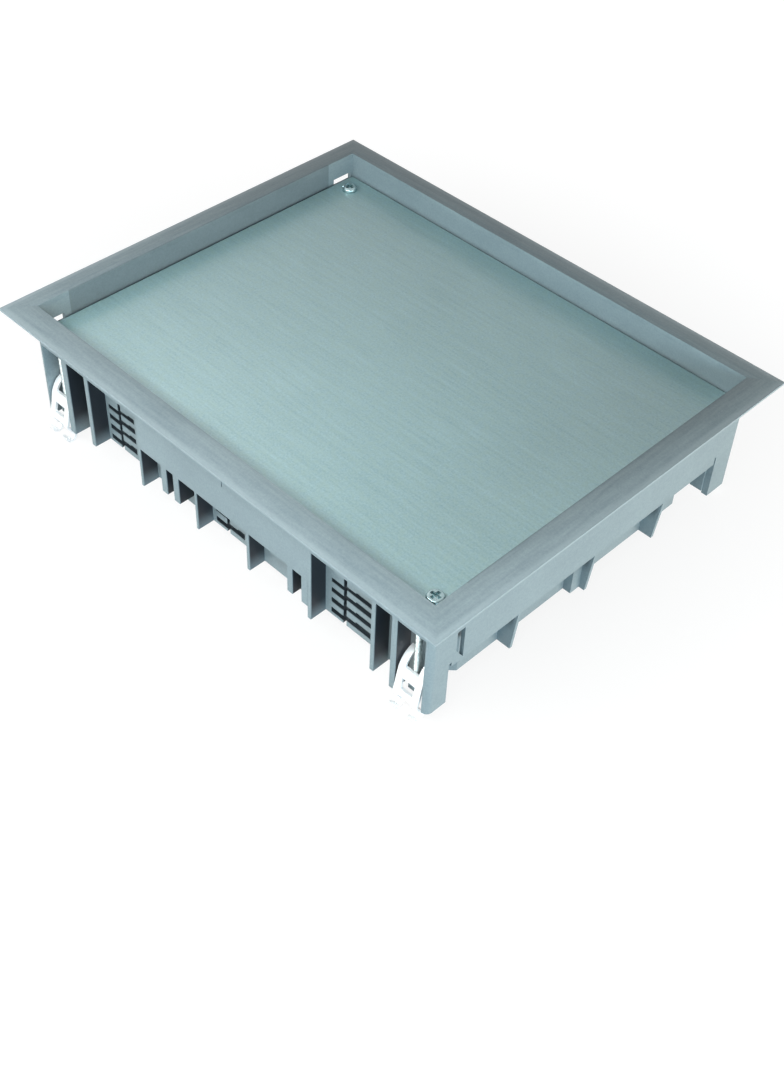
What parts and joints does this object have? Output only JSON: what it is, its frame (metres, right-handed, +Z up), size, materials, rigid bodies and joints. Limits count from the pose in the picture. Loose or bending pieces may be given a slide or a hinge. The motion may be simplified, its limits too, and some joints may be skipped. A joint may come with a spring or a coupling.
{
  "type": "floor box cover",
  "caption": "Rectangular frame for a raised floor with a recessed screwed steel cover plate and corner claws on long screws.",
  "frame": {"origin": "centre of the floor opening at floor level, in the plane of the flange's underside", "axes": "+Z up out of the floor, X along the long side, Y along the short side; the cover screws are at +X -Y and -X +Y"},
  "size_m": [0.263, 0.213, 0.0673],
  "materials": {
    "frame_plastic": "fine matt moulded grey",
    "cover_steel": "zinc coated sheet, satin",
    "cover_screw_steel": "zinc plated",
    "insert_brass": "plain",
    "claw_steel": "bright zinc plated",
    "nut_steel": "zinc plated",
    "claw_screw_steel": "zinc plated"
  },
  "bodies": {
    "frame": {"frame": "frame_plastic", "cover_plate": "cover_steel", "cover_screw_front": "cover_screw_steel", "cover_screw_rear": "cover_screw_steel", "cover_insert_front": "insert_brass", "cover_insert_rear": "insert_brass"},
    "claw_front_left": {"claw_front_left": "claw_steel", "claw_nut_front_left": "nut_steel"},
    "claw_screw_front_left": {"claw_screw_front_left": "claw_screw_steel"},
    "claw_front_right": {"claw_front_right": "claw_steel", "claw_nut_front_right": "nut_steel"},
    "claw_screw_front_right": {"claw_screw_front_right": "claw_screw_steel"},
    "claw_rear_right": {"claw_rear_right": "claw_steel", "claw_nut_rear_right": "nut_steel"},
    "claw_screw_rear_right": {"claw_screw_rear_right": "claw_screw_steel"},
    "claw_rear_left": {"claw_rear_left": "claw_steel", "claw_nut_rear_left": "nut_steel"},
    "claw_screw_rear_left": {"claw_screw_rear_left": "claw_screw_steel"}
  },
  "joints": [
    {"name": "claw_screw_turn_front_left", "type": "hinge", "parent": "frame", "child": "claw_screw_front_left", "pos_m": [-0.111, -0.0919, -0.014], "axis": [0, 0, -1], "range_deg": [0, 8650]},
    {"name": "claw_slide_front_left", "type": "slide", "parent": "frame", "child": "claw_front_left", "axis": [0, 0, 1], "range_m": [0, 0.012]},
    {"name": "claw_screw_turn_front_right", "type": "hinge", "parent": "frame", "child": "claw_screw_front_right", "pos_m": [0.111, -0.0919, -0.014], "axis": [0, 0, -1], "range_deg": [0, 8650]},
    {"name": "claw_slide_front_right", "type": "slide", "parent": "frame", "child": "claw_front_right", "axis": [0, 0, 1], "range_m": [0, 0.012]},
    {"name": "claw_screw_turn_rear_right", "type": "hinge", "parent": "frame", "child": "claw_screw_rear_right", "pos_m": [0.111, 0.0919, -0.014], "axis": [0, 0, -1], "range_deg": [0, 8650]},
    {"name": "claw_slide_rear_right", "type": "slide", "parent": "frame", "child": "claw_rear_right", "axis": [0, 0, 1], "range_m": [0, 0.012]},
    {"name": "claw_screw_turn_rear_left", "type": "hinge", "parent": "frame", "child": "claw_screw_rear_left", "pos_m": [-0.111, 0.0919, -0.014], "axis": [0, 0, -1], "range_deg": [0, 8650]},
    {"name": "claw_slide_rear_left", "type": "slide", "parent": "frame", "child": "claw_rear_left", "axis": [0, 0, 1], "range_m": [0, 0.012]}
  ],
  "couplings": [
    {"joint": "claw_screw_turn_front_left", "follows": "claw_slide_front_left", "rad_per_m": 12566},
    {"joint": "claw_screw_turn_front_right", "follows": "claw_slide_front_right", "rad_per_m": 12566},
    {"joint": "claw_screw_turn_rear_right", "follows": "claw_slide_rear_right", "rad_per_m": 12566},
    {"joint": "claw_screw_turn_rear_left", "follows": "claw_slide_rear_left", "rad_per_m": 12566}
  ]
}
